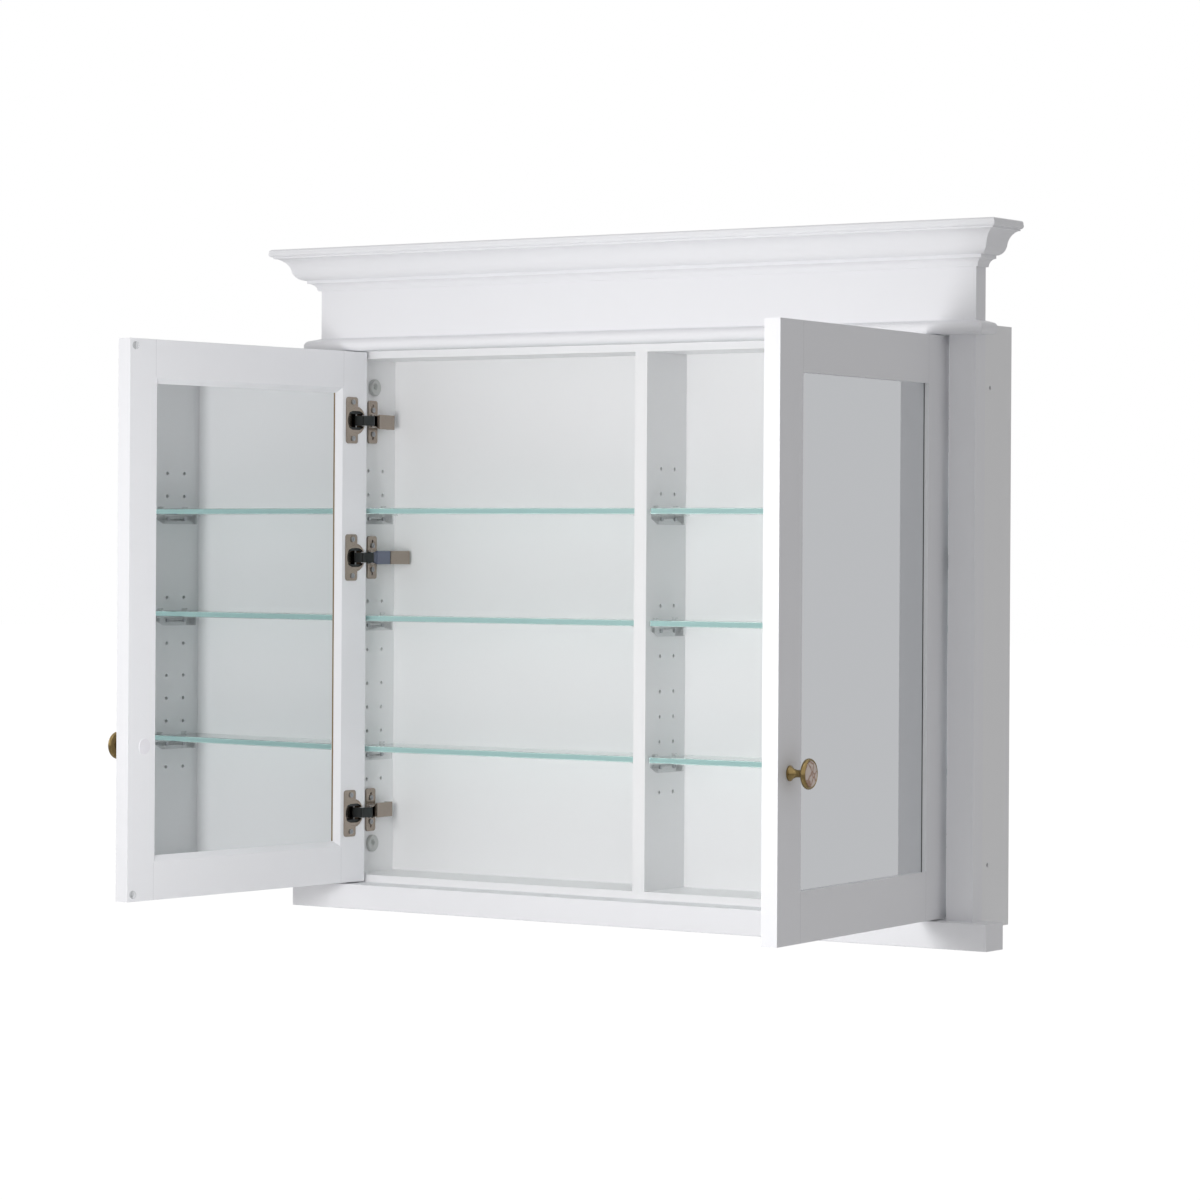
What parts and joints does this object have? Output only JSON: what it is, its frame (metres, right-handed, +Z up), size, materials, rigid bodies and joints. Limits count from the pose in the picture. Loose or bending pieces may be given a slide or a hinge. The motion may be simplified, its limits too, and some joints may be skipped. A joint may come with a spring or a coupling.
{
  "type": "medicine cabinet",
  "caption": "Wall-hung bathroom cabinet with swinging mirrored doors, glass shelves, crown moulding and a centre partition.",
  "frame": {"origin": "midway between the two hanging screw holes, on the wall plane", "axes": "+X to the viewer's right, +Y into the wall, +Z up; the front faces -Y"},
  "size_m": [1.0782, 0.5575, 0.8681],
  "materials": {
    "white_paint": "satin white lacquer on solid wood and fibreboard",
    "white_melamine": "smooth white melamine facing on particle board",
    "white_back": "white faced hardboard",
    "raw_pine": "bare softwood",
    "mirror_glass": "polished silvered glass",
    "shelf_glass": "polished clear glass",
    "clear_plastic": "clear moulded plastic",
    "nickel_steel": "nickel plated sheet steel",
    "zinc_steel": "zinc plated steel",
    "damper_plastic": "satin moulded plastic",
    "grey_plastic": "satin moulded plastic",
    "knob_brass": "polished brass",
    "knob_stone": "polished veined marble",
    "cap_plastic": "white moulded plastic"
  },
  "bodies": {
    "cabinet": {"arm_covers": "nickel_steel", "arm_pins": "zinc_steel", "back_panel": "white_back", "base_board": "white_paint", "bottom_panel": "white_melamine", "crown_moulding": "white_paint", "dampers": "damper_plastic", "frieze_bead": "white_paint", "frieze_board": "white_paint", "hanging_rail": "raw_pine", "hinge_arms": "nickel_steel", "hinge_plates": "nickel_steel", "left_frame_stile": "white_paint", "left_high_shelf": "shelf_glass", "left_low_shelf": "shelf_glass", "left_middle_shelf": "shelf_glass", "left_side_panel": "white_melamine", "panel_connectors": "grey_plastic", "partition": "white_melamine", "plate_screws": "zinc_steel", "right_frame_stile": "white_paint", "right_high_shelf": "shelf_glass", "right_low_shelf": "shelf_glass", "right_middle_shelf": "shelf_glass", "right_side_panel": "white_melamine", "shelf_clips": "clear_plastic", "shelf_pegs": "zinc_steel", "top_panel": "white_melamine"},
    "left_door": {"left_door_hinge_stile": "white_paint", "left_door_knob_stile": "white_paint", "left_door_bottom_rail": "white_paint", "left_door_top_rail": "white_paint", "left_outer_mirror": "mirror_glass", "left_inner_mirror": "mirror_glass", "left_mirror_strips": "white_paint", "left_knob": "knob_brass", "left_knob_disc": "knob_stone", "left_knob_screw": "cap_plastic", "left_bumpers": "clear_plastic", "left_hinge_cups": "nickel_steel", "left_cup_cheeks": "nickel_steel", "left_cup_pins": "zinc_steel", "left_cup_screws": "zinc_steel"},
    "right_door": {"right_door_hinge_stile": "white_paint", "right_door_knob_stile": "white_paint", "right_door_bottom_rail": "white_paint", "right_door_top_rail": "white_paint", "right_outer_mirror": "mirror_glass", "right_inner_mirror": "mirror_glass", "right_mirror_strips": "white_paint", "right_knob": "knob_brass", "right_knob_disc": "knob_stone", "right_knob_screw": "cap_plastic", "right_bumpers": "clear_plastic", "right_hinge_cups": "nickel_steel", "right_cup_cheeks": "nickel_steel", "right_cup_pins": "zinc_steel", "right_cup_screws": "zinc_steel"},
    "left_hinge_links": {"left_hinge_links": "nickel_steel"},
    "right_hinge_links": {"right_hinge_links": "nickel_steel"}
  },
  "joints": [
    {"name": "left_door_swing", "type": "hinge", "parent": "cabinet", "child": "left_door", "pos_m": [-0.4403, -0.1184, -0.311], "axis": [0, 0, 1], "range_deg": [0, 94]},
    {"name": "left_link_pivot", "type": "hinge", "parent": "left_door", "child": "left_hinge_links", "pos_m": [-0.43297, -0.11971, -0.311], "axis": [0, 0, 1], "range_deg": [-122, 0]},
    {"name": "right_door_swing", "type": "hinge", "parent": "cabinet", "child": "right_door", "pos_m": [0.4403, -0.1184, -0.311], "axis": [0, 0, -1], "range_deg": [0, 94]},
    {"name": "right_link_pivot", "type": "hinge", "parent": "right_door", "child": "right_hinge_links", "pos_m": [0.43297, -0.11971, -0.311], "axis": [0, 0, -1], "range_deg": [-122, 0]}
  ],
  "couplings": [
    {"joint": "left_link_pivot", "follows": "left_door_swing", "ratio": -1.2941},
    {"joint": "right_link_pivot", "follows": "right_door_swing", "ratio": -1.2941}
  ]
}
